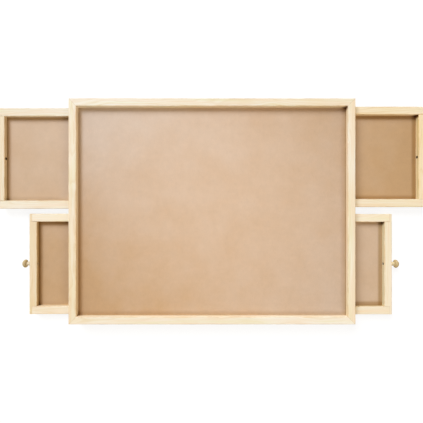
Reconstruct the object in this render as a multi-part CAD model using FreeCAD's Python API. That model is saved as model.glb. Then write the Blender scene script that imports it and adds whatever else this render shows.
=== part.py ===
import FreeCAD, Part
import math
import os

# A low wooden jigsaw puzzle table. A mitred rim stands round a thin work board, and four
# drawers slide out from under the two short ends, two at each end.
# Millimetres. X runs along the table's length, Y to its back and Z up. The origin is on
# the floor, under the middle of the frame.

Vector = FreeCAD.Vector

# ---------------------------------------------------------------- driving dimensions
# Frame
table_length = 880.0          # X, over the rim
table_width = 693.0           # Y, over the rim
rim_width = 23.5              # rim, seen from above
rim_height = 18.0             # rim above the work surface
wall_thickness = 18.0         # long rails below the work board
edge_round = 1.6              # sanded long edges of the frame

# Work board
board_thickness = 4.0
board_tongue = 8.0            # how far the board runs into the rim, all round

# What stands under the board
centre_beam_width = 14.0      # Y, the beam between the front and the back drawers
cross_beam_width = 20.0       # X, the beams that stop the closed drawers
runner_height = 7.0
runner_width = 10.0           # runners along the long rails
centre_runner_width = 34.0    # runner under the centre beam, shared by the drawers

# Feet
foot_height = 3.0
foot_diameter = 16.0
foot_end_distance = 40.0      # from the table's end to the middle of a foot
foot_chamfer = 0.6

# Drawers
drawer_height = 22.0
front_thickness = 23.5
front_lip = 8.0               # wood left over the end of each side
side_width = 25.0
back_thickness = 18.0
panel_thickness = 3.0
panel_tongue = 6.0            # how far the bottom runs into its grooves
panel_lift = 3.5              # from the drawer's underside to the bottom panel
drawer_round = 1.6            # sanded long edges of the drawers
front_round = 2.2             # the same on the outer face of a drawer's front

# Clearances
side_play = 3.5               # each side of a drawer in its bay
running_gap = 0.3             # between a drawer and its runners
head_room = 1.7               # between a drawer and the board
closing_gap = 0.5             # between a closed drawer and the beam that stops it

# Knobs and their screws
knob_drop = 9.0               # from a drawer's top edge to the knob's axis
knob_diameter = 25.5
knob_projection = 25.2
knob_rim_round = 4.2          # how fat the head's rim is
knob_rim_inset = 9.2          # from the knob's end back to its widest ring
knob_back_dome = 43.0         # radius of the head's flatter back
knob_neck_diameter = 12.0
knob_foot_diameter = 15.0
knob_foot_length = 1.6
screw_diameter = 4.0
screw_bite = 13.0             # thread inside the knob
screw_head_diameter = 7.2
screw_head_height = 2.0
screw_head_round = 1.2
screw_recess_diameter = 8.4
screw_recess_depth = 3.2
screw_slot_length = 4.8
screw_slot_width = 1.0
screw_slot_depth = 0.9

# Countersunk screws that hold the runners
runner_screw_diameter = 3.5
runner_screw_head = 6.0
runner_screw_head_height = 2.2
runner_screw_length = 24.0
end_screw_length = 45.0       # through runner and beam into the end rail
end_screw_distance = 10.0     # from the table's end
runner_screw_places = (-300.0, -100.0, 100.0, 300.0)

# Brads
brad_diameter = 1.6
brad_head_diameter = 2.8
brad_head_height = 0.6
corner_brad_length = 30.0
corner_brad_spacing = 8.0
lip_brad_length = 26.0
back_brad_length = 38.0
drawer_brad_spacing = 10.0

# Each drawer: its name, the end it opens at, its side of the centre beam, how far it is
# drawn out, and how far it has drifted across its play (1 is against the long rail).
DRAWERS = (
    ("back_left", -1, 1, 233.3, -0.49),
    ("back_right", 1, 1, 230.4, 0.90),
    ("front_left", -1, -1, 132.0, -0.89),
    ("front_right", 1, -1, 123.6, -0.70),
)

# ---------------------------------------------------------------- sizes that follow
half_length = table_length / 2
half_width = table_width / 2
rim_end = half_length - rim_width                     # inner edge of the rim, along X
rim_side = half_width - rim_width                     # inner edge of the rim, along Y
wall_inside = half_width - wall_thickness
bay_inside = centre_beam_width / 2

z_runner = foot_height
z_runner_top = z_runner + runner_height
z_drawer = z_runner_top + running_gap
z_drawer_top = z_drawer + drawer_height
z_board = z_drawer_top + head_room
z_board_top = z_board + board_thickness
z_rim = z_board_top + rim_height

bay_width = wall_inside - bay_inside
bay_middle = (wall_inside + bay_inside) / 2
drawer_width = bay_width - 2 * side_play
drawer_length = half_length - cross_beam_width / 2 - closing_gap

TOUCH = 0.001                                         # how near counts as on a plane


# ---------------------------------------------------------------- helpers
def block(a, b):
    """The box between two opposite corners, in any order."""
    low = Vector(min(a.x, b.x), min(a.y, b.y), min(a.z, b.z))
    high = Vector(max(a.x, b.x), max(a.y, b.y), max(a.z, b.z))
    size = high - low
    return Part.makeBox(size.x, size.y, size.z, low)


def rod(start, direction, diameter, length):
    """A round bar from a point along a direction."""
    return Part.makeCylinder(diameter / 2, length, start, direction)


def edges_at(shape, **place):
    """The edges that lie wholly at the given x, y or z."""
    return [
        edge for edge in shape.Edges
        if all(
            abs(getattr(vertex.Point, axis) - value) < TOUCH
            for vertex in edge.Vertexes
            for axis, value in place.items()
        )
    ]


def eased(shape, radius, *places):
    """The shape with the edges at the given places rounded."""
    edges = [edge for place in places for edge in edges_at(shape, **place)]
    return shape.makeFillet(radius, edges)


def turned(profile, start, direction):
    """A profile in X and Z, spun about X, with X then laid along a direction."""
    spun = Part.Face(profile).revolve(Vector(0, 0, 0), Vector(1, 0, 0), 360)
    spun.Placement = FreeCAD.Placement(start, FreeCAD.Rotation(Vector(1, 0, 0), direction))
    return spun


def line(a, b):
    return Part.makeLine(Vector(a[0], 0, a[1]), Vector(b[0], 0, b[1]))


def arc(centre, radius, start, end):
    """A profile's arc about a centre, between two angles in degrees from the X axis."""
    angles = [math.radians(angle) for angle in (start, (start + end) / 2, end)]
    points = [
        Vector(centre[0] + radius * math.cos(a), 0, centre[1] + radius * math.sin(a)) for a in angles
    ]
    return Part.Arc(*points).toShape()


def countersunk_screw(start, direction, length):
    """A flat-headed screw, its head flush with the face it enters at start."""
    shank = runner_screw_diameter / 2
    head = runner_screw_head / 2
    corners = [(0, 0), (0, head), (runner_screw_head_height, shank), (length, shank), (length, 0)]
    sides = [line(a, b) for a, b in zip(corners, corners[1:] + corners[:1])]
    return turned(Part.Wire(sides), start, direction)


def brad(start, direction, length):
    """A thin nail with a small flat head, driven flush at start."""
    shank = rod(start, direction, brad_diameter, length)
    head = rod(start, direction, brad_head_diameter, brad_head_height)
    return shank.fuse(head).removeSplitter()


def cut_all(shape, tools):
    """The shape with pockets for the solids that sit in it."""
    return shape.cut(Part.makeCompound(tools)) if tools else shape


def mirrored_y(shape):
    return shape.mirror(Vector(0, 0, 0), Vector(0, 1, 0))


def mirrored_x(shape):
    return shape.mirror(Vector(0, 0, 0), Vector(1, 0, 0))


# ---------------------------------------------------------------- frame
def work_board():
    reach_x = rim_end + board_tongue
    reach_y = rim_side + board_tongue
    return block(Vector(-reach_x, -reach_y, z_board), Vector(reach_x, reach_y, z_board_top))


def mitre_wedge(side_x, side_y):
    """The corner of the rim that belongs to the end rail."""
    corners = [
        (side_x * rim_end, side_y * rim_side),
        (side_x * half_length, side_y * rim_side),
        (side_x * half_length, side_y * half_width),
    ]
    points = [Vector(x, y, z_board) for x, y in corners + corners[:1]]
    return Part.Face(Part.makePolygon(points)).extrude(Vector(0, 0, z_rim - z_board))


def back_long_rail(board, fixings):
    """A full-height rail: the rim's long side with the drawers' side wall under it."""
    rim = block(Vector(-half_length, rim_side, z_board), Vector(half_length, half_width, z_rim))
    rim = eased(rim, edge_round, {"y": half_width, "z": z_rim}, {"y": rim_side, "z": z_rim})
    for side_x in (-1, 1):
        rim = rim.cut(mitre_wedge(side_x, 1))
    wall = block(
        Vector(-half_length, wall_inside, z_runner), Vector(half_length, half_width, z_board)
    )
    wall = eased(wall, edge_round, {"y": half_width, "z": z_runner})
    rail = rim.cut(board).fuse(wall).removeSplitter()
    return cut_all(rail, fixings)


def right_end_rail(board, fixings):
    """The rim's short side, with its mitred ends; the drawers pass under it."""
    rail = block(Vector(rim_end, -half_width, z_board), Vector(half_length, half_width, z_rim))
    rail = eased(
        rail, edge_round,
        {"x": half_length, "z": z_rim}, {"x": rim_end, "z": z_rim}, {"x": half_length, "z": z_board},
    )
    ends = []
    for side_y in (-1, 1):
        outer = block(
            Vector(rim_end, side_y * rim_side, z_board), Vector(half_length, side_y * half_width, z_rim)
        )
        ends.append(outer.cut(mitre_wedge(1, side_y)))
    return cut_all(rail, ends + [board] + fixings)


def centre_beam(fixings):
    """The long beam under the middle of the board, from end to end of the frame."""
    beam = block(
        Vector(-half_length, -bay_inside, z_runner_top), Vector(half_length, bay_inside, z_board)
    )
    return cut_all(beam, fixings)


def back_cross_beam():
    """The beam from the centre beam to the back rail, which stops the closed drawers."""
    reach = cross_beam_width / 2
    return block(Vector(-reach, bay_inside, z_runner_top), Vector(reach, wall_inside, z_board))


def back_runner(fixings):
    """The strip along the back rail that carries the drawers' outer sides."""
    strip = block(
        Vector(-half_length, wall_inside - runner_width, z_runner),
        Vector(half_length, wall_inside, z_runner_top),
    )
    return cut_all(strip, fixings)


def centre_runner(fixings):
    reach = centre_runner_width / 2
    strip = block(Vector(-half_length, -reach, z_runner), Vector(half_length, reach, z_runner_top))
    return cut_all(strip, fixings)


def corner_brads():
    """Two brads through each mitre, driven in from the long sides."""
    z_middle = (z_board_top + z_rim) / 2
    brads = []
    for side_x in (-1, 1):
        for side_y in (-1, 1):
            for rise in (-corner_brad_spacing / 2, corner_brad_spacing / 2):
                start = Vector(
                    side_x * (half_length - rim_width / 2), side_y * half_width, z_middle + rise
                )
                brads.append(brad(start, Vector(0, -side_y, 0), corner_brad_length))
    return brads


def runner_screws():
    """Screws through the side runners into the walls, and up through the centre runner."""
    screws = []
    z_middle = (z_runner + z_runner_top) / 2
    for x in runner_screw_places:
        for side_y in (-1, 1):
            start = Vector(x, side_y * (wall_inside - runner_width), z_middle)
            screws.append(countersunk_screw(start, Vector(0, side_y, 0), runner_screw_length))
        screws.append(countersunk_screw(Vector(x, 0, z_runner), Vector(0, 0, 1), runner_screw_length))
    for side_x in (-1, 1):
        start = Vector(side_x * (half_length - end_screw_distance), 0, z_runner)
        screws.append(countersunk_screw(start, Vector(0, 0, 1), end_screw_length))
    return screws


def rubber_feet():
    """Three pads under each long rail."""
    feet = []
    for x in (-half_length + foot_end_distance, 0, half_length - foot_end_distance):
        for side_y in (-1, 1):
            base = Vector(x, side_y * (half_width - wall_thickness / 2), 0)
            pad = rod(base, Vector(0, 0, 1), foot_diameter, foot_height)
            feet.append(pad.makeChamfer(foot_chamfer, edges_at(pad, z=0)))
    return feet


def build_frame():
    board = work_board()
    brads = corner_brads()
    screws = runner_screws()
    long_rail = back_long_rail(board, brads + screws)
    end_rail = right_end_rail(board, brads + screws)
    cross_beam = back_cross_beam()
    runner = back_runner(screws)
    return {
        "back_long_rail": long_rail,
        "front_long_rail": mirrored_y(long_rail),
        "right_end_rail": end_rail,
        "left_end_rail": mirrored_x(end_rail),
        "work_board": board,
        "centre_beam": centre_beam(screws),
        "back_cross_beam": cross_beam,
        "front_cross_beam": mirrored_y(cross_beam),
        "back_runner": runner,
        "front_runner": mirrored_y(runner),
        "centre_runner": centre_runner(screws),
        "corner_brads": Part.makeCompound(brads),
        "runner_screws": Part.makeCompound(screws),
        "rubber_feet": Part.makeCompound(rubber_feet()),
    }


# ---------------------------------------------------------------- drawers
def knob_profile():
    """Half a turned knob: a short foot, a straight neck and a mushroom head, flatter behind."""
    foot = knob_foot_diameter / 2
    neck = knob_neck_diameter / 2
    cove = foot - neck
    rim = knob_diameter / 2 - knob_rim_round
    ring = knob_projection - knob_rim_inset
    rise = knob_rim_inset ** 2 + rim ** 2 - knob_rim_round ** 2
    front_dome = rise / (2 * (knob_rim_inset - knob_rim_round))
    front_centre = (knob_projection - front_dome, 0)
    front_end = math.degrees(math.atan2(rim, ring - front_centre[0]))
    back_centre = (ring + math.sqrt((knob_back_dome - knob_rim_round) ** 2 - rim ** 2), 0)
    back_end = math.degrees(math.atan2(rim, back_centre[0] - ring))
    neck_end = math.degrees(math.asin(neck / knob_back_dome))
    neck_top = back_centre[0] - knob_back_dome * math.cos(math.radians(neck_end))
    return Part.Wire([
        line((0, 0), (0, foot)),
        line((0, foot), (knob_foot_length, foot)),
        arc((knob_foot_length + cove, foot), cove, 180, 270),
        line((knob_foot_length + cove, neck), (neck_top, neck)),
        arc(back_centre, knob_back_dome, 180 - neck_end, 180 - back_end),
        arc((ring, rim), knob_rim_round, 180 - back_end, front_end),
        arc(front_centre, front_dome, front_end, 0),
        line((knob_projection, 0), (0, 0)),
    ])


def knob_screw(head_face, direction):
    """A round-headed screw with a crossed slot, its head towards the inside."""
    head = screw_head_diameter / 2
    shank = screw_diameter / 2
    length = screw_head_height + front_thickness - screw_recess_depth + screw_bite
    profile = Part.Wire([
        line((0, 0), (0, head - screw_head_round)),
        arc((screw_head_round, head - screw_head_round), screw_head_round, 180, 90),
        line((screw_head_round, head), (screw_head_height, head)),
        line((screw_head_height, head), (screw_head_height, shank)),
        line((screw_head_height, shank), (length, shank)),
        line((length, shank), (length, 0)),
        line((length, 0), (0, 0)),
    ])
    screw = turned(profile, head_face, direction)
    reach = screw_slot_length / 2
    half_slot = screw_slot_width / 2
    depth = direction * screw_slot_depth
    for across, along in ((half_slot, reach), (reach, half_slot)):
        corner = Vector(0, across, along)
        screw = screw.cut(block(head_face - corner, head_face + corner + depth))
    return screw


def build_drawer(side_x, side_y, opening, drift):
    """The solids of one drawer, where it stands in the row's frame."""
    middle = side_y * (bay_middle + drift * side_play)
    face = side_x * (half_length + opening)
    outward = Vector(side_x, 0, 0)
    across = Vector(0, side_y, 0)

    def at(inward, outer, up):
        """A point: inward from the front's face, towards the long rail, and above the base."""
        return Vector(face - side_x * inward, middle + side_y * outer, z_drawer + up)

    half = drawer_width / 2
    inside = half - side_width
    back_start = drawer_length - back_thickness

    panel = block(
        at(front_thickness - panel_tongue, -inside - panel_tongue, panel_lift),
        at(back_start + panel_tongue, inside + panel_tongue, panel_lift + panel_thickness),
    )

    axis_height = drawer_height - knob_drop
    recess = rod(
        at(front_thickness, 0, axis_height), outward, screw_recess_diameter, screw_recess_depth
    )
    head_face = at(front_thickness - screw_recess_depth + screw_head_height, 0, axis_height)
    screw = knob_screw(head_face, outward)
    knob = turned(knob_profile(), at(0, 0, axis_height), outward).cut(screw)

    brads = []
    side_middle = half - side_width / 2
    back_middle = drawer_length - back_thickness / 2
    for rise in (-drawer_brad_spacing / 2, drawer_brad_spacing / 2):
        height = drawer_height / 2 + rise
        for sign in (-1, 1):
            brads.append(brad(at(0, sign * side_middle, height), outward * -1, lip_brad_length))
            brads.append(brad(at(back_middle, sign * half, height), across * -sign, back_brad_length))

    front = block(at(0, -half, 0), at(front_thickness, half, drawer_height))
    front = eased(front, front_round, {"x": face})
    inner_face = at(front_thickness, 0, 0).x
    front = eased(front, drawer_round, {"x": inner_face, "z": z_drawer_top})
    rebates = [
        block(at(front_lip, sign * inside, 0), at(front_thickness, sign * half, drawer_height))
        for sign in (-1, 1)
    ]
    front = cut_all(front, rebates + brads + [panel, recess, screw])

    sides = {}
    for name, sign in (("outer", 1), ("inner", -1)):
        rail = block(at(front_lip, sign * inside, 0), at(drawer_length, sign * half, drawer_height))
        outer_y = at(0, sign * half, 0).y
        inner_y = at(0, sign * inside, 0).y
        rail = eased(
            rail, drawer_round,
            {"y": outer_y, "z": z_drawer_top}, {"y": inner_y, "z": z_drawer_top},
            {"y": outer_y, "z": z_drawer},
        )
        sides[name] = cut_all(rail, brads + [panel])

    back = block(at(back_start, -inside, 0), at(drawer_length, inside, drawer_height))
    back_faces = (at(back_start, 0, 0).x, at(drawer_length, 0, 0).x)
    back = eased(back, drawer_round, *({"x": x, "z": z_drawer_top} for x in back_faces))
    back = cut_all(back, brads + [panel])

    return {
        "drawer_front": front,
        "drawer_outer_side": sides["outer"],
        "drawer_inner_side": sides["inner"],
        "drawer_back": back,
        "drawer_bottom": panel,
        "knob": knob,
        "knob_screw": screw,
        "drawer_brads": Part.makeCompound(brads),
    }


# ---------------------------------------------------------------- the whole table
def build():
    nodes = build_frame()
    for name, side_x, side_y, opening, drift in DRAWERS:
        for piece, shape in build_drawer(side_x, side_y, opening, drift).items():
            nodes[f"{name}_{piece}"] = shape
    return nodes


os.makedirs("parts", exist_ok=True)
for node, shape in build().items():
    shape.exportStep(f"parts/{node}.step")
    print(f"{node:32s} {len(shape.Solids):3d} solids {shape.Volume / 1000:10.2f} cm3")
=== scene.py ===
import math
import random

import bpy
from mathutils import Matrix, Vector

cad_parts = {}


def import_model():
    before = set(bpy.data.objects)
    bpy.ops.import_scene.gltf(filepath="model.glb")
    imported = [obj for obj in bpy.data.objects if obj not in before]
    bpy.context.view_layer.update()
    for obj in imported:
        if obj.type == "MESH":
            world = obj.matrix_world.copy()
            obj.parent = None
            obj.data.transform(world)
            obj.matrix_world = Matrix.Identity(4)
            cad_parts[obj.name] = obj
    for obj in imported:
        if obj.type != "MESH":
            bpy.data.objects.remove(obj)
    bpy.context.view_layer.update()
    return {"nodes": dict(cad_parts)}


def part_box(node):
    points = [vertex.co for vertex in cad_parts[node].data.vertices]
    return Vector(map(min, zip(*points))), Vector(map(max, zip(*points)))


# The looks of a wooden jigsaw puzzle table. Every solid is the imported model's own, so this
# script gives each one its wood, board, steel or rubber, and sets the camera and the lamps.

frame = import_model()
nodes = frame["nodes"]

# ------------------------------------------------------------------ places, in metres
TABLE_LOW, TABLE_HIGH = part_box("back_long_rail")
TABLE_LENGTH = TABLE_HIGH.x - TABLE_LOW.x
RIM_TOP = TABLE_HIGH.z
BOARD_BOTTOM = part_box("work_board")[0].z
DRAWERS = ("back_left", "back_right", "front_left", "front_right")
METRE = 1000.0                # materials measure in millimetres

# ------------------------------------------------------------------ camera
PHOTO_SIZE = 423              # the picture is this many pixels wide and high
TABLE_SPAN = 287.2            # the frame's length in the picture, in pixels
TABLE_CENTRE = (212.0, 211.35)  # the frame's middle in the picture, in pixels
CAMERA_ABOVE_RIM = 1.08       # metres
SENSOR = 36.0                 # millimetres

# ------------------------------------------------------------------ light
# Each lamp: where it stands from the table, its colour, its strength, its width in degrees.
KEY_LAMP = ((-0.85, 1.2, 1.3), (0.935, 1.0, 1.09), 2.97, 34)
FILL_LAMP = ((1.1, -0.95, 1.2), (1.1, 1.0, 0.8), 0.8, 24)
HORIZON_GLOW = 0.8            # the room's pale walls
ZENITH_GLOW = 0.05
HORIZON_TOP = 0.75            # how high that glow reaches, as the sine of the elevation
SKY_WARMTH = (1.2, 0.92, 0.6)
FLOOR_SIZE = 12.0             # metres
FLOOR_GREY = 0.7              # the floor as the object sees it
FLOOR_SHADE = 0.17            # the floor as the camera sees it: this much takes shadow,
FLOOR_GLOW = 0.88             # and this much is always white

# ------------------------------------------------------------------ colours, as sRGB
WHITE = (255, 255, 255)
PINE_PALE = (250, 243, 229)
PINE_WARM = (242, 220, 174)
PINE_LATE = (229, 201, 150)
PINE_PINK = (255, 249, 245)
PINE_FRESH = (251, 254, 246)
PINE_END = (222, 196, 158)
KNOB_NECK = (241, 236, 222)
KNOB_HEAD = (222, 212, 189)
MITRE_SEAM = (205, 182, 146)
LAP_SEAM = (228, 214, 188)
HANDLED = (238, 225, 201)
# painted shade on the walls' inner faces
WALL_SHADE = (213, 198, 170)
# painted shade with an olive cast, on some walls' inner faces
WALL_OLIVE_SHADE = (209, 219, 171)
# painted shade in the crease along each wall's foot
FOOT_LINE_SHADE = (184, 164, 110)
# painted shadow in the trays' far right corners
CORNER_SHADOW = (138, 98, 46)
# painted shade in the recesses round the knobs' screws
RECESS_SHADE = (80, 52, 24)
BOARD_PALE = (229, 206, 186)
BOARD_TAN = (211, 172, 130)
HARDBOARD_PALE = (213, 188, 164)
HARDBOARD_TAN = (196, 159, 117)
# painted shade on a tray's bottom along the foot of each wall
BOARD_SHADE = (226, 215, 190)
STEEL = (120, 112, 100)
BLACK_STEEL = (24, 18, 12)
BROWN_STEEL = (185, 150, 100)
RUBBER = (34, 34, 35)

# How warm each piece's wood is, from 0 (pale cream) to 1 (honey), at its left or near end
# and at its right or far end.
TONES = {
    "back_long_rail": (-0.2, 0.45),
    "front_long_rail": (0.4, 0.1),
    "left_end_rail": (0.75, 0.05),
    "right_end_rail": (0.35, 0.35),
    "back_left_drawer_front": (0.45, 0.45),
    "back_left_drawer_outer_side": (0.1, 0.1),
    "back_left_drawer_inner_side": (0.35, 0.35),
    "back_right_drawer_front": (0.9, 0.9),
    "back_right_drawer_outer_side": (0.65, 0.65),
    "back_right_drawer_inner_side": (0.45, 0.5),
    "front_left_drawer_front": (0.85, 0.5),
    "front_left_drawer_outer_side": (0.3, 0.3),
    "front_left_drawer_inner_side": (0.25, 0.25),
    "front_right_drawer_front": (0.4, 0.4),
    "front_right_drawer_outer_side": (0.45, 0.45),
    "front_right_drawer_inner_side": (0.3, 0.3),
    "front_left_knob": (0.2, 0.2),
}
PLAIN_TONES = (0.45, 0.45)

# How much light a piece's wood gives back beside the others'.
LEVELS = {
    "back_long_rail": 0.98,
    "left_end_rail": 0.99,
    "back_left_drawer_front": 0.96,
    "back_left_drawer_inner_side": 0.98,
    "back_left_drawer_outer_side": 0.94,
    "back_right_drawer_front": 1.03,
    "front_left_drawer_front": 0.96,
    "front_left_drawer_inner_side": 1.02,
    "front_right_drawer_inner_side": 1.03,
    "front_left_knob": 0.9,
}

# How pale each board is in its middle, from 0 (tan) to 1, and how much that rises to its
# right wall (lean), to its far wall (slope) and to its far left and near right corner
# (saddle), and how much it falls near its left end's nearer part (browned).
BOARD_TONES = {
    "work_board": {"middle": 0.5, "slope": 0.22, "saddle": 0.38, "browned": 0.22},
    "back_left_drawer_bottom": {"middle": 0.78, "lean": 0.12, "slope": 0.1},
    "back_right_drawer_bottom": {"middle": 0.2, "lean": -0.25, "slope": 0.1},
    "front_left_drawer_bottom": {"middle": 0.28, "lean": 0.12, "slope": 0.1},
    "front_right_drawer_bottom": {"middle": 0.74, "lean": -0.12, "slope": 0.1},
}

# How much darker a board's left and right ends are than its middle, and how much darker its
# near and far ones: painted shade of the light falling off towards them.
BOARD_FADES = {"work_board": (0.14, 0.05), "back_right_drawer_bottom": (0.08, 0.0)}
NO_FADE = (0.0, 0.0)

# ------------------------------------------------------------------ patterns
# Each noise pattern: how fine it is along the three axes, per millimetre, how many layers of
# finer noise it has, and how strong those are. Pine's first axis is along its grain.
PATTERNS = {
    "ring drift": ((0.0035, 0.02, 0.02), 2.0, 0.5),
    "ring wobble": ((0.02, 0.16, 0.16), 3.0, 0.5),
    "slow tone": ((0.0045, 0.012, 0.012), 2.0, 0.5),
    "tone bands": ((0.004, 0.11, 0.11), 2.0, 0.5),
    "hue bands": ((0.006, 0.07, 0.07), 1.0, 0.5),
    "wood fibres": ((0.03, 1.5, 1.5), 5.0, 0.65),
    "resin canals": ((0.05, 2.3, 2.3), 1.0, 0.5),
    "hand polish": ((0.03, 0.03, 0.03), 3.0, 0.6),
    "speckle": ((0.9, 0.9, 0.9), 4.0, 0.65),
    "board fibres": ((0.5, 0.12, 0.5), 4.0, 0.7),
    "flecks": ((1.3, 0.312, 1.3), 2.0, 0.5),
    "clouds": ((0.045, 0.045, 0.045), 4.0, 0.6),
    "scuffs": ((0.012, 0.05, 1.0), 2.0, 0.5),
    "mottle": ((0.012, 0.012, 0.012), 3.0, 0.55),
    "dulling": ((0.8, 0.8, 0.8), 4.0, 0.6),
    "rubber grain": ((2.2, 2.2, 2.2), 3.0, 0.6),
}
NOISE_MIDDLE = 0.5
NOISE_GAIN = 2.5              # brings a pattern's usual spread to 1 on both sides
NOISE_SPAN = (0.2, 0.8)       # nearly all of a pattern lies in here
CUT_FROM = (-900, 900)        # where a piece is cut from a pattern, along each axis
RELIEF = 0.0006               # metres, the height of every finish's bumps at full strength

# ------------------------------------------------------------------ pine, in millimetres
# The ranges that each plank's own numbers are drawn from.
PITH_AWAY = (38, 85)          # how far its middle is from the log's pith
PITH_TURN = (0.15, 0.85)      # and in which direction, in half turns
RING_SPACING = (2.4, 4.2)
RING_CONTRAST = (0.35, 0.6)

RING_DRIFT = 13.0             # how far slow bends carry the rings off their circles
RING_WOBBLE = 1.0             # and how far quick ones do
RING_PROFILE = ((0.0, 0.0), (0.4, 0.12), (0.82, 1.0), (1.0, 0.0))  # lateness across a ring
FAINTEST_RING = 0.35          # beside the strongest
SLOW_TONE = 0.4               # how much the tone changes slowly along a plank
BAND_TONE = 0.3               # and how much from band to band
PINK_BANDS = (0.45, 0.7)      # the wood turns pink as its hue pattern rises through these
FRESH_BANDS = (0.48, 0.25)    # and greenish as it falls through these
CANAL_PART = (0.70, 0.78)     # only the peaks of their pattern are canals
PINE_LIGHT = 0.945            # the light that the wood gives back between fibres and canals
FIBRE_LIGHT = 0.11
CANAL_DARK = 0.06
END_FACES = (0.75, 0.92)      # end grain shows as the normal turns this far along the grain
END_CONTRAST = 0.6            # how strongly the rings show in it
PINE_ROUGHNESS = 0.5
FIBRE_ROUGHNESS = 0.16
END_ROUGHNESS = 0.15
LATE_HEIGHT = 0.35            # how much the rings and the fibres stand out
FIBRE_HEIGHT = 0.65
PINE_RELIEF = 0.12
PINE_GLOSS = 0.35
KNOB_SHOULDER = (-5.0, 0.0)   # where the neck turns into the head, outward from the middle

# ------------------------------------------------------------------ boards
MOTTLE_TONE = 0.22            # how much the tone changes from patch to patch
BROWNER_ACROSS = (-0.75, -0.95)  # the board is browner near its left end, which is at -1,
BROWNER_UP = (0.5, -0.3)        # and along its nearer part, where its near side is at -1
BOARD_LIGHT = {"speckle": 0.055, "board fibres": 0.045, "clouds": 0.045}
SCUFF_PART = (0.55, 0.75)     # only the peaks of their pattern are scuffs
SCUFF_LIGHT = 0.015
FLECK_PART = (0.64, 0.74)
FLECK_DARK = 0.12
BOARD_ROUGHNESS = 0.44
SPECKLE_ROUGHNESS = 0.16
SCUFF_POLISH = 0.06           # how much smoother a scuff is
BOARD_RELIEF = 0.08
BOARD_GLOSS = 0.3

# ------------------------------------------------------------------ steel and rubber
# Each steel: its colour, how metallic it is, how much rougher it is than bare steel, and
# how glossy.
STEELS = {
    "steel": (STEEL, 1.0, 0.0, 0.5),
    "black_steel": (BLACK_STEEL, 0.0, 0.3, 0.15),
    "brown_steel": (BROWN_STEEL, 0.0, 0.3, 0.15),
}
STEEL_ROUGHNESS = (0.32, 0.55)
STEEL_DULL = 0.75             # how dark its dullest places are beside its colour
STEEL_RELIEF = 0.05
RUBBER_ROUGHNESS = (0.68, 0.85)
RUBBER_BLOOM = 1.5            # how pale its palest places are beside its colour
RUBBER_RELIEF = 0.2
RUBBER_GLOSS = 0.4

# ------------------------------------------------------------------ painted shade and wear, in millimetres
SHADE_REACH = 17.0            # how far the painted shade spreads from a wall over a tray's bottom
WALL_HEIGHT = 16.0            # of a tray's walls over its bottom
LINE_HEIGHT = 4.5             # how far up a wall the painted shade line along its foot reaches,
LINE_CORE = 1.0               # up to where it is darkest,
LINE_REACH = 3.0              # and how far out over the bottom it reaches
CORNER_REACH = 13.0           # how far from a corner the painted shadow in it reaches,
CORNER_CORE = 2.0             # and up to where it is darkest
FACE_DEPTH = (-2.2, -0.6)     # a wall's painted shade ends in this range behind its inner face
UPRIGHT = (0.6, 0.25)         # a face counts as upright as the Z of its normal falls so far

# How dark the painted shade on each wall's inner face is at its top and at its foot, where 1 is
# WALL_SHADE, and in the painted line along its foot, where 1 is FOOT_LINE_SHADE.
WALL_SHADES = {
    "back_long_rail": (0.0, 0.0, 0.0),
    "left_end_rail": (0.0, 0.25, 0.0),
    "right_end_rail": (0.15, 0.3, 0.7),
    "back_left_drawer_front": (0.65, 0.5, 0.5),
    "front_left_drawer_front": (0.4, 1.4, 1.0),
    "front_left_drawer_inner_side": (0.0, 2.0, 1.0),
    "front_left_drawer_outer_side": (0.3, 0.42, 0.0),
    "back_right_drawer_front": (0.0, 0.0, 0.0),
    "back_right_drawer_outer_side": (0.0, 0.2, 0.0),
    "front_right_drawer_front": (0.0, 0.0, 0.0),
    "front_right_drawer_inner_side": (0.0, 0.0, 0.0),
    "front_right_drawer_outer_side": (1.0, 1.0, 0.4),
}
USUAL_WALL_SHADES = (0.0, 0.42, 0.0)

# How strong the painted olive shade is on a wall's inner face, at its top and at its foot.
WALL_OLIVE_SHADES = {
    "back_right_drawer_front": (0.6, 0.0),
    "front_right_drawer_front": (0.4, 0.35),
}
NO_OLIVE_SHADE = (0.0, 0.0)

# How dark the painted shade on each tray's bottom is along its left, right, near and far wall.
TABLE_FLOOR_SHADES = (0.65, 0.6, 0.6, 0.1)
DRAWER_FLOOR_SHADES = {
    "back_left": (0.7, 0.8, 0.4, 1.3),
    "back_right": (0.8, 2.3, 1.3, 2.2),
    "front_left": (0.9, 0.8, 0.1, 2.2),
    "front_right": (0.8, 2.6, 1.8, 0.1),
}

# How dark the painted shade line along the foot of those walls is on the bottom itself.
TABLE_SHADE_LINES = (0.0, 0.6, 0.0, 0.0)
DRAWER_SHADE_LINES = {
    "back_left": (1.0, 0.0, 0.0, 0.0),
    "back_right": (0.0, 0.3, 0.3, 0.0),
    "front_left": (0.6, 0.0, 0.0, 0.0),
    "front_right": (0.0, 0.2, 0.5, 0.0),
}

# How dark the painted shadow in each tray's far right corner is.
TABLE_CORNER_SHADOW = 0.8
DRAWER_CORNER_SHADOWS = {"back_left": 0.0, "back_right": 1.0, "front_left": 0.0, "front_right": 0.8}

# How dark the painted shade in the recess round each knob's screw is.
RECESS_SHADES = {"back_left": 1.0, "back_right": 0.9, "front_left": 0.1, "front_right": 0.6}
HOLE_EDGE = 4.2               # how far from the screw's middle the recess ends,
HOLE_BLUR = 0.8               # and how wide its blurred edge is

SEAM_HALF = 0.5               # half the width of the darker line along a joint,
SEAM_CORE = 0.15              # and of that line's darkest part
MITRE_FADE = 0.2              # the mitres' lines start this far under the board
LAP_FADE = 0.3                # and the rebates' lines end over this length
EDGE_REACH = 3.0              # how far from a long edge the wood is polished by hands,
EDGE_CORE = 0.6               # and up to where it is polished most
EDGE_PATCHES = (0.35, 0.65)   # the polish comes as its pattern rises through these
EDGE_POLISH = 0.1             # how much smoother it makes the wood


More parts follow.
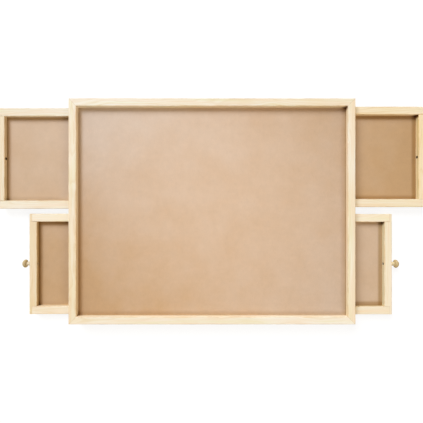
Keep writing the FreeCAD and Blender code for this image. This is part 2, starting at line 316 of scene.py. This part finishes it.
# ------------------------------------------------------------------ node graphs
def linear(colour):
    """An sRGB colour from 0 to 255 as the linear one that a shader takes."""
    shares = [c / 255 for c in colour]
    values = [s / 12.92 if s <= 0.04045 else ((s + 0.055) / 1.055) ** 2.4 for s in shares]
    return (*values, 1.0)


class Graph:
    """A node tree, with one short call for each kind of node that the finishes use."""

    def __init__(self, tree):
        self.tree = tree

    def add(self, kind, inputs=None, **settings):
        node = self.tree.nodes.new("ShaderNode" + kind)
        for name, value in settings.items():
            setattr(node, name, value)
        for name, value in (inputs or {}).items():
            self.set(node.inputs[name], value)
        return node

    def set(self, socket, value):
        if isinstance(value, bpy.types.NodeSocket):
            self.tree.links.new(value, socket)
        else:
            socket.default_value = value

    def math(self, operation, a, b=0.0, clamp=False):
        return self.add("Math", {0: a, 1: b}, operation=operation, use_clamp=clamp).outputs[0]

    def plus(self, *terms):
        total = terms[0]
        for term in terms[1:]:
            total = self.math("ADD", total, term)
        return total

    def minus(self, a, b):
        return self.math("SUBTRACT", a, b)

    def times(self, a, b):
        return self.math("MULTIPLY", a, b)

    def size(self, a):
        return self.math("ABSOLUTE", a)

    def vector(self, operation, a, b):
        return self.add("VectorMath", {0: a, 1: b}, operation=operation).outputs["Vector"]

    def length(self, a):
        return self.add("VectorMath", {0: a}, operation="LENGTH").outputs["Value"]

    def split(self, a):
        return self.add("SeparateXYZ", {0: a}).outputs

    def join(self, x, y, z):
        return self.add("CombineXYZ", {0: x, 1: y, 2: z}).outputs[0]

    def pattern(self, place, name):
        """One of the noise patterns, as a value from 0 to 1."""
        fineness, detail, roughness = PATTERNS[name]
        inputs = {
            "Vector": self.vector("MULTIPLY", place, fineness),
            "Scale": 1.0,
            "Detail": detail,
            "Roughness": roughness,
        }
        return self.add("TexNoise", inputs).outputs["Fac"]

    def swing(self, value, reach):
        """A pattern's value as one from about -reach to reach."""
        return self.times(self.minus(value, NOISE_MIDDLE), reach * NOISE_GAIN)

    def ramp(self, value, low, high, new_low=0.0, new_high=1.0):
        """A value taken smoothly from one range to another, and held at its ends."""
        sockets = ("Value", "From Min", "From Max", "To Min", "To Max")
        inputs = dict(zip(sockets, (value, low, high, new_low, new_high)))
        node = self.add("MapRange", inputs, interpolation_type="SMOOTHSTEP", clamp=True)
        return node.outputs["Result"]

    def curve(self, value, *stops):
        """A value through (place, value) stops."""
        node = self.add("ValToRGB", {"Fac": value})
        ramp = node.color_ramp.elements
        while len(ramp) < len(stops):
            ramp.new(0.5)
        for element, (place, level) in zip(ramp, stops):
            element.position = place
            element.color = (level, level, level, 1)
        return node.outputs["Color"]

    def mix(self, share, a, b, blend="MIX"):
        node = self.add("Mix", data_type="RGBA", blend_type=blend)
        colours = [s for s in node.inputs if s.type == "RGBA"]
        self.set(node.inputs[0], share)
        self.set(colours[0], a)
        self.set(colours[1], b)
        return [s for s in node.outputs if s.type == "RGBA"][0]

    def tint(self, colour, share, by):
        """The colour multiplied by an sRGB one, as far as the share says."""
        return self.mix(1.0, colour, self.mix(share, linear(WHITE), linear(by)), "MULTIPLY")

    def shade(self, colour, value):
        """The colour multiplied by a grey value."""
        grey = self.add("CombineColor", {0: value, 1: value, 2: value}).outputs["Color"]
        return self.mix(1.0, colour, grey, "MULTIPLY")


def new_material(name):
    material = bpy.data.materials.new(name)
    material.use_nodes = True
    return material, Graph(material.node_tree), material.node_tree.nodes["Principled BSDF"]


def object_place(graph, centre=(0, 0, 0)):
    """Where a point of a node is from a centre in the frame at rest, in millimetres."""
    place = graph.vector("SUBTRACT", graph.add("TexCoord").outputs["Object"], tuple(centre))
    return graph.vector("MULTIPLY", place, (METRE, METRE, METRE))


def finish_surface(graph, shader, colour, roughness, height, depth, gloss):
    """Joins a graph's results to its shader."""
    graph.set(shader.inputs["Base Color"], colour)
    graph.set(shader.inputs["Roughness"], roughness)
    bump = graph.add("Bump", {"Strength": depth, "Distance": RELIEF, "Height": height})
    graph.set(shader.inputs["Normal"], bump.outputs["Normal"])
    shader.inputs["Specular IOR Level"].default_value = gloss


def dress(node, material):
    nodes[node].data.materials.clear()
    nodes[node].data.materials.append(material)


# ------------------------------------------------------------------ trays
class Tray:
    """The space inside four walls, darkened with painted shade along the foot of each wall."""

    def __init__(self, left, right, near, far, floor, floor_shade, lines, corner):
        low = Vector((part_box(left)[1].x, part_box(near)[1].y, 0))
        high = Vector((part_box(right)[0].x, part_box(far)[0].y, 0))
        self.centre = (low + high) / 2
        self.centre.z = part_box(floor)[1].z
        self.half = (high - low) / 2 * METRE
        self.floor_shade = floor_shade
        self.lines = lines
        self.corner = corner

    def gaps(self, graph, place):
        """How far in from the left, right, near and far wall a point is."""
        x, y = graph.split(place)[:2]
        return (
            graph.plus(x, self.half.x), graph.minus(self.half.x, x),
            graph.plus(y, self.half.y), graph.minus(self.half.y, y),
        )

    def paint_corner_shadow(self, graph, place, colour, inside=1.0):
        """Paints shadow into the far right corner."""
        x, y = graph.split(place)[:2]
        away = graph.plus(graph.minus(self.half.x, x), graph.minus(self.half.y, y))
        # painted shadow, darkest in the corner
        share = graph.ramp(away, CORNER_REACH, CORNER_CORE, 0.0, self.corner)
        return graph.tint(colour, graph.times(inside, share), CORNER_SHADOW)

    def paint_floor_shade(self, graph, place, colour):
        """Paints shade on the bottom along each wall and into its far right corner."""
        for gap, floor_shade, line in zip(self.gaps(graph, place), self.floor_shade, self.lines):
            # painted shade along the wall, then a darker painted line at its foot
            colour = graph.tint(colour, graph.ramp(gap, 0.0, SHADE_REACH, floor_shade, 0.0), BOARD_SHADE)
            colour = graph.tint(colour, graph.ramp(gap, 0.0, LINE_REACH, line, 0.0), FOOT_LINE_SHADE)
        return self.paint_corner_shadow(graph, place, colour)

    def paint_wall_shade(self, graph, place, colour, node, upright):
        """Paints shade on a wall's inner face, with an olive cast on some, and most of all in the
        line along its foot.
        """
        height = graph.split(place)[2]
        inside = upright
        for gap in self.gaps(graph, place):
            inside = graph.times(inside, graph.ramp(gap, *FACE_DEPTH))
        top, foot, line = WALL_SHADES.get(node, USUAL_WALL_SHADES)
        olive_top, olive_foot = WALL_OLIVE_SHADES.get(node, NO_OLIVE_SHADE)
        wall_shade = graph.ramp(height, WALL_HEIGHT, 0.0, top, foot)
        olive_shade = graph.ramp(height, WALL_HEIGHT, 0.0, olive_top, olive_foot)
        dark_line = graph.ramp(height, LINE_HEIGHT, LINE_CORE, 0.0, line)
        # painted shade on the wall's face, its olive cast, and the painted line at its foot
        for share, by in ((wall_shade, WALL_SHADE), (olive_shade, WALL_OLIVE_SHADE), (dark_line, FOOT_LINE_SHADE)):
            colour = graph.tint(colour, graph.times(inside, share), by)
        return self.paint_corner_shadow(graph, place, colour, inside)


def table_tray():
    walls = ("left_end_rail", "right_end_rail", "front_long_rail", "back_long_rail")
    return Tray(*walls, "work_board", TABLE_FLOOR_SHADES, TABLE_SHADE_LINES, TABLE_CORNER_SHADOW)


def drawer_tray(drawer):
    ends = [drawer + "_drawer_front", drawer + "_drawer_back"]
    sides = [drawer + "_drawer_inner_side", drawer + "_drawer_outer_side"]
    if "right" in drawer:
        ends.reverse()
    if "front" in drawer:
        sides.reverse()
    painted_shading = (DRAWER_FLOOR_SHADES[drawer], DRAWER_SHADE_LINES[drawer], DRAWER_CORNER_SHADOWS[drawer])
    return Tray(*ends, *sides, drawer + "_drawer_bottom", *painted_shading)


# ------------------------------------------------------------------ pine
def growth_rings(graph, given, shifted):
    """How late the wood is, from 0 to 1: its distance from the pith, bent, and cut in rings."""
    from_pith = graph.vector("SUBTRACT", given["Place"], given["Pith"])
    radius = graph.length(graph.vector("MULTIPLY", from_pith, (0, 1, 1)))
    drift = graph.swing(graph.pattern(shifted, "ring drift"), RING_DRIFT)
    wobble = graph.swing(graph.pattern(shifted, "ring wobble"), RING_WOBBLE)
    rings = graph.math("DIVIDE", graph.plus(radius, drift, wobble), given["Spacing"])
    number = {"W": graph.math("FLOOR", rings)}
    own = graph.add("TexWhiteNoise", number, noise_dimensions="1D").outputs["Value"]
    strength = graph.plus(FAINTEST_RING, graph.times(own, 1 - FAINTEST_RING))
    return graph.times(graph.curve(graph.math("FRACT", rings), *RING_PROFILE), strength)


def wood_colour(graph, given, shifted):
    """The wood without its rings: slow changes along it, and bands some millimetres wide."""
    slow = graph.swing(graph.pattern(shifted, "slow tone"), SLOW_TONE)
    bands = graph.swing(graph.pattern(shifted, "tone bands"), BAND_TONE)
    tone = graph.math("ADD", given["Tone"], graph.plus(slow, bands), clamp=True)
    colour = graph.mix(tone, linear(PINE_PALE), linear(PINE_WARM))
    hue = graph.pattern(shifted, "hue bands")
    colour = graph.tint(colour, graph.ramp(hue, *PINK_BANDS), PINE_PINK)
    return graph.tint(colour, graph.ramp(hue, *FRESH_BANDS), PINE_FRESH)


def pine_group():
    """Pine as a solid block of growth rings round a pith, so its end grain matches."""
    tree = bpy.data.node_groups.new("pine", "ShaderNodeTree")
    for name, kind in (
        ("Place", "Vector"), ("Shift", "Vector"), ("Pith", "Vector"),
        ("Spacing", "Float"), ("Contrast", "Float"), ("Tone", "Float"), ("End", "Float"),
    ):
        tree.interface.new_socket(name, in_out="INPUT", socket_type="NodeSocket" + kind)
    for name, kind in (("Color", "Color"), ("Roughness", "Float"), ("Height", "Float")):
        tree.interface.new_socket(name, in_out="OUTPUT", socket_type="NodeSocket" + kind)
    graph = Graph(tree)
    given = tree.nodes.new("NodeGroupInput").outputs
    shifted = graph.vector("ADD", given["Place"], given["Shift"])
    late = growth_rings(graph, given, shifted)
    colour = wood_colour(graph, given, shifted)

    # Planed along the grain, the wood shows fibres and short resin canals.
    fibre = graph.pattern(shifted, "wood fibres")
    canal = graph.ramp(graph.pattern(shifted, "resin canals"), *CANAL_PART)
    light = graph.plus(PINE_LIGHT, graph.times(fibre, FIBRE_LIGHT))
    light = graph.minus(light, graph.times(canal, CANAL_DARK))
    side = graph.mix(graph.times(late, given["Contrast"]), colour, linear(PINE_LATE))
    side = graph.shade(side, light)

    # End grain is darker, and shows its rings more.
    end = graph.mix(graph.times(late, END_CONTRAST), colour, linear(PINE_LATE))
    end = graph.tint(end, 1.0, PINE_END)
    end_share = graph.ramp(given["End"], *END_FACES)

    fibre_roughness = graph.times(fibre, FIBRE_ROUGHNESS)
    end_roughness = graph.times(end_share, END_ROUGHNESS)
    height = graph.plus(graph.times(late, LATE_HEIGHT), graph.times(fibre, FIBRE_HEIGHT))
    result = tree.nodes.new("NodeGroupOutput").inputs
    graph.set(result["Color"], graph.mix(end_share, side, end))
    graph.set(result["Roughness"], graph.plus(PINE_ROUGHNESS, fibre_roughness, end_roughness))
    graph.set(result["Height"], height)
    return tree


PINE = pine_group()


def plank_tone(graph, node, along_plank, half_length):
    """How warm a plank is, from its first end to its last."""
    first, last = TONES.get(node, PLAIN_TONES)
    drift = (last - first) / 2 / half_length
    return graph.plus((first + last) / 2, graph.times(along_plank, drift))


def cut_plank(graph, node, place, end_grain, tone):
    """A node's own plank of pine, cut from another place in another log."""
    draw = random.Random(node)
    away = draw.uniform(*PITH_AWAY)
    turn = draw.uniform(*PITH_TURN) * math.pi
    own = {
        "Shift": [draw.uniform(*CUT_FROM) for _ in range(3)],
        "Pith": (0, away * math.cos(turn), -away * math.sin(turn)),
        "Spacing": draw.uniform(*RING_SPACING),
        "Contrast": draw.uniform(*RING_CONTRAST),
        "Place": place,
        "End": end_grain,
        "Tone": tone,
    }
    return graph.add("Group", own, node_tree=PINE).outputs


def seam(graph, offset):
    """1 on a joint, falling to 0 at SEAM_HALF from it."""
    return graph.ramp(graph.size(offset), SEAM_CORE, SEAM_HALF, 1.0, 0.0)


def mitre_seam(graph, place, colour):
    """The four mitres of the rim, which run at 45 degrees out to the frame's corners."""
    x, y, z = graph.split(place)
    skew = (TABLE_HIGH.x - TABLE_HIGH.y) * METRE
    offset = graph.minus(graph.minus(graph.size(x), graph.size(y)), skew)
    start = BOARD_BOTTOM * METRE
    above_board = graph.ramp(z, start - MITRE_FADE, start)
    return graph.tint(colour, graph.times(seam(graph, offset), above_board), MITRE_SEAM)


def lap_seam(drawer):
    """The two lines of a rebate, where a drawer's side meets its front's lip and shoulder."""
    side_low, side_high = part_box(drawer + "_drawer_outer_side")
    tray = drawer_tray(drawer)
    outermost = max(side_low.x, side_high.x, key=abs)
    lip = abs(outermost - tray.centre.x) * METRE

    def draw(graph, place, colour):
        from_centre = graph.vector("SUBTRACT", place, tuple(tray.centre * METRE))
        along, across = [graph.size(part) for part in graph.split(from_centre)[:2]]
        beside_tray = graph.ramp(across, tray.half.y - SEAM_HALF, tray.half.y)
        end_line = graph.times(seam(graph, graph.minus(along, lip)), beside_tray)
        outside = graph.ramp(along, tray.half.x - LAP_FADE, tray.half.x)
        within = graph.times(outside, graph.ramp(along, lip, lip + LAP_FADE, 1.0, 0.0))
        shoulder = graph.times(seam(graph, graph.minus(across, tray.half.y)), within)
        return graph.tint(colour, graph.math("MAXIMUM", end_line, shoulder), LAP_SEAM)
    return draw


def screw_recess(drawer):
    """Painted shade in the recess round a knob's screw, in the inner face of its drawer's front.
    """
    low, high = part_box(drawer + "_knob_screw")

    def draw(graph, place, colour):
        away = graph.vector("SUBTRACT", place, tuple((low + high) / 2 * METRE))
        away = graph.length(graph.vector("MULTIPLY", away, (0, 1, 1)))
        # painted shade inside the recess
        share = graph.ramp(away, HOLE_EDGE + HOLE_BLUR, HOLE_EDGE, 0.0, RECESS_SHADES[drawer])
        return graph.tint(colour, share, RECESS_SHADE)
    return draw


def long_edge(graph, place, half_width, half_height):
    """Where handling has polished a plank: patches along its four long edges."""
    y, z = graph.split(place)[1:]
    from_side = graph.minus(half_width, graph.size(y))
    from_top = graph.minus(half_height, graph.size(z))
    inset = graph.plus(from_side, from_top)
    patches = graph.ramp(graph.pattern(place, "hand polish"), *EDGE_PATCHES)
    return graph.times(graph.ramp(inset, EDGE_REACH, EDGE_CORE), patches)


def knob_colour(graph, colour, outward):
    """Wood that is pale at the neck and browner over the head."""
    colour = graph.tint(colour, 1.0, KNOB_NECK)
    return graph.tint(colour, graph.ramp(outward, *KNOB_SHOULDER), KNOB_HEAD)


def pine(node, along, tray=None, joint=None, recess=None, turned=0):
    """Gives a node its own plank of pine, with its joints, its polished edges and its painted
    shade.

    A turned knob says with -1 or 1 which way along X its head points.
    """
    low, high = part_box(node)
    half = (high - low) / 2 * METRE
    material, graph, shader = new_material("pine." + node)
    frame_place = object_place(graph)
    x, y, z = graph.split(object_place(graph, (low + high) / 2))
    facing = graph.split(graph.add("TexCoord").outputs["Normal"])
    if along == "X":
        place, along_plank, facing_end = graph.join(x, y, z), x, facing[0]
        half_length, half_width = half.x, half.y
    else:
        place, along_plank, facing_end = graph.join(y, x, z), y, facing[1]
        half_length, half_width = half.y, half.x
    end_grain = 0.0 if turned else graph.size(facing_end)
    tone = plank_tone(graph, node, along_plank, half_length)
    wood = cut_plank(graph, node, place, end_grain, tone)

    roughness = wood["Roughness"]
    if turned:
        colour = knob_colour(graph, wood["Color"], graph.times(x, turned))
    else:
        browned = long_edge(graph, place, half_width, half.z)
        colour = graph.tint(wood["Color"], browned, HANDLED)
        roughness = graph.minus(roughness, graph.times(browned, EDGE_POLISH))
    if joint:
        colour = joint(graph, frame_place, colour)
    if tray:
        upright = graph.ramp(graph.size(facing[2]), *UPRIGHT)
        colour = tray.paint_wall_shade(graph, object_place(graph, tray.centre), colour, node, upright)
    if recess:
        colour = recess(graph, frame_place, colour)
    level = LEVELS.get(node, 1.0)
    colour = graph.mix(1.0, colour, (level, level, level, 1), "MULTIPLY")
    finish_surface(graph, shader, colour, roughness, wood["Height"], PINE_RELIEF, PINE_GLOSS)
    dress(node, material)


# ------------------------------------------------------------------ boards
def board_tone(graph, across, up, mottle, middle, lean=0.0, slope=0.0, saddle=0.0, browned=0.0):
    """How pale a board is, from 0 to 1. Across and up it, places run from -1 to 1."""
    browner_patch = graph.times(graph.ramp(across, *BROWNER_ACROSS), graph.ramp(up, *BROWNER_UP))
    tone = graph.plus(
        middle,
        graph.swing(mottle, MOTTLE_TONE),
        graph.times(browner_patch, -browned),
        graph.times(graph.times(across, up), -saddle),
        graph.times(across, lean),
        graph.times(up, slope),
    )
    return graph.math("ADD", tone, 0.0, clamp=True)


def board_light(graph, fine, scuffs, flecks):
    """How much light a board gives back: fine patterns, bright scuffs and dark flecks."""
    swings = [graph.swing(fine[name], reach) for name, reach in BOARD_LIGHT.items()]
    bright, dark = graph.times(scuffs, SCUFF_LIGHT), graph.times(flecks, -FLECK_DARK)
    return graph.plus(1.0, *swings, bright, dark)


def fibreboard(node, tray, pale, tan):
    """Smooth brown board: fine speckle, slow mottling, and painted shade along its walls."""
    material, graph, shader = new_material("board." + node)
    draw = random.Random(node)
    place = object_place(graph, tray.centre)
    shifted = graph.vector("ADD", place, [draw.uniform(*CUT_FROM) for _ in range(3)])
    x, y = graph.split(place)[:2]
    across, up = graph.times(x, 1 / tray.half.x), graph.times(y, 1 / tray.half.y)
    fine = {name: graph.pattern(shifted, name) for name in BOARD_LIGHT}
    scuffs = graph.ramp(graph.pattern(shifted, "scuffs"), *SCUFF_PART)
    flecks = graph.ramp(graph.pattern(shifted, "flecks"), *FLECK_PART)
    mottle = graph.pattern(shifted, "mottle")

    tone = board_tone(graph, across, up, mottle, **BOARD_TONES[node])
    colour = graph.mix(tone, linear(tan), linear(pale))
    light = board_light(graph, fine, scuffs, flecks)
    # painted shade: darker towards the board's ends and sides
    for part, fall in zip((across, up), BOARD_FADES.get(node, NO_FADE)):
        light = graph.minus(light, graph.times(graph.times(part, part), fall))
    colour = tray.paint_floor_shade(graph, place, graph.shade(colour, light))

    speckled = graph.times(fine["speckle"], SPECKLE_ROUGHNESS)
    roughness = graph.plus(BOARD_ROUGHNESS, speckled, graph.times(scuffs, -SCUFF_POLISH))
    height = graph.plus(fine["speckle"], fine["board fibres"])
    finish_surface(graph, shader, colour, roughness, height, BOARD_RELIEF, BOARD_GLOSS)
    dress(node, material)


# ------------------------------------------------------------------ steel and rubber
def steel(name):
    shade, metallic, rougher, gloss = STEELS[name]
    material, graph, shader = new_material(name)
    dulling = graph.pattern(object_place(graph), "dulling")
    colour = graph.mix(dulling, linear(shade), linear([c * STEEL_DULL for c in shade]))
    least, most = STEEL_ROUGHNESS
    roughness = graph.ramp(dulling, *NOISE_SPAN, least + rougher, most + rougher)
    finish_surface(graph, shader, colour, roughness, dulling, STEEL_RELIEF, gloss)
    shader.inputs["Metallic"].default_value = metallic
    return material


def rubber():
    material, graph, shader = new_material("rubber")
    grain = graph.pattern(object_place(graph), "rubber grain")
    colour = graph.mix(grain, linear(RUBBER), linear([c * RUBBER_BLOOM for c in RUBBER]))
    roughness = graph.ramp(grain, *NOISE_SPAN, *RUBBER_ROUGHNESS)
    finish_surface(graph, shader, colour, roughness, grain, RUBBER_RELIEF, RUBBER_GLOSS)
    return material


# ------------------------------------------------------------------ dressing the table
def dress_frame():
    tray = table_tray()
    for node in ("back_long_rail", "front_long_rail"):
        pine(node, "X", tray, mitre_seam)
    for node in ("left_end_rail", "right_end_rail"):
        pine(node, "Y", tray, mitre_seam)
    for node in ("centre_beam", "back_runner", "front_runner", "centre_runner"):
        pine(node, "X")
    for node in ("back_cross_beam", "front_cross_beam"):
        pine(node, "Y")
    fibreboard("work_board", tray, BOARD_PALE, BOARD_TAN)
    dress("rubber_feet", rubber())


def dress_drawer(drawer):
    tray = drawer_tray(drawer)
    joint = lap_seam(drawer)
    pine(drawer + "_drawer_front", "Y", tray, joint, screw_recess(drawer))
    pine(drawer + "_drawer_back", "Y", tray)
    pine(drawer + "_drawer_outer_side", "X", tray, joint)
    pine(drawer + "_drawer_inner_side", "X", tray, joint)
    pine(drawer + "_knob", "X", turned=-1 if "left" in drawer else 1)
    fibreboard(drawer + "_drawer_bottom", tray, HARDBOARD_PALE, HARDBOARD_TAN)


def dress_fasteners():
    """Bare steel brads and screws, and blackened knob screws, of which one has gone brown."""
    bare, black, brown = steel("steel"), steel("black_steel"), steel("brown_steel")
    for node in nodes:
        if node.endswith(("_brads", "_screws")):
            dress(node, bare)
        if node.endswith("_knob_screw"):
            dress(node, brown if node.startswith("front_left") else black)


# ------------------------------------------------------------------ floor, lamps, camera
def background_rays(graph):
    """1 for the rays that see the white background, 0 for the ones that carry light."""
    path = graph.add("LightPath").outputs
    seen = graph.math("MAXIMUM", path["Is Camera Ray"], path["Is Glossy Ray"])
    return graph.math("MAXIMUM", seen, path["Is Transmission Ray"])


def floor():
    """A white floor that stays white in the picture and keeps the table's soft shadow."""
    bpy.ops.mesh.primitive_plane_add(size=FLOOR_SIZE)
    plane = bpy.context.object
    plane.name = "floor"
    material, graph, shader = new_material("floor")
    material.node_tree.nodes.remove(shader)

    def matt(grey):
        return graph.add("BsdfDiffuse", {"Color": (grey, grey, grey, 1)}).outputs[0]
    white = {"Color": linear(WHITE), "Strength": FLOOR_GLOW}
    glow = graph.add("Emission", white).outputs[0]
    shown = graph.add("AddShader", {0: matt(FLOOR_SHADE), 1: glow}).outputs[0]
    both = {0: background_rays(graph), 1: matt(FLOOR_GREY), 2: shown}
    surface = material.node_tree.nodes["Material Output"].inputs["Surface"]
    graph.set(surface, graph.add("MixShader", both).outputs[0])
    plane.data.materials.append(material)


def world():
    """A room with pale warm walls, and pure white where the camera sees past the floor."""
    room = bpy.data.worlds.new("room")
    bpy.context.scene.world = room
    room.use_nodes = True
    graph = Graph(room.node_tree)
    up = graph.split(graph.add("TexCoord").outputs["Generated"])[2]
    inputs = {"Value": up, "From Max": HORIZON_TOP, "To Min": HORIZON_GLOW, "To Max": ZENITH_GLOW}
    glow = graph.add("MapRange", inputs, clamp=True).outputs["Result"]
    sky = graph.shade((*SKY_WARMTH, 1), glow)
    shown = graph.mix(background_rays(graph), sky, linear(WHITE))
    graph.set(room.node_tree.nodes["Background"].inputs["Color"], shown)


def lamp(name, place, colour, strength, across):
    """A large soft lamp that shines on the table from a place."""
    data = bpy.data.lights.new(name, "SUN")
    data.energy = strength
    data.color = colour
    data.angle = math.radians(across)
    light = bpy.data.objects.new(name, data)
    bpy.context.scene.collection.objects.link(light)
    light.location = place
    light.rotation_euler = Vector(place).to_track_quat("Z", "Y").to_euler()


def camera():
    """Straight down over the table, as far off and as wide as the picture."""
    data = bpy.data.cameras.new("camera")
    pixel = TABLE_LENGTH / TABLE_SPAN
    data.sensor_width = SENSOR
    data.lens = SENSOR * CAMERA_ABOVE_RIM / (pixel * PHOTO_SIZE)
    middle = PHOTO_SIZE / 2
    eye = bpy.data.objects.new("camera", data)
    bpy.context.scene.collection.objects.link(eye)
    eye.location = (
        (middle - TABLE_CENTRE[0]) * pixel,
        (TABLE_CENTRE[1] - middle) * pixel,
        RIM_TOP + CAMERA_ABOVE_RIM,
    )
    bpy.context.scene.camera = eye


# ------------------------------------------------------------------ the whole scene
dress_frame()
for drawer_name in DRAWERS:
    dress_drawer(drawer_name)
dress_fasteners()
floor()
world()
lamp("key", *KEY_LAMP)
lamp("fill", *FILL_LAMP)
camera()
bpy.context.scene.view_settings.view_transform = "Standard"
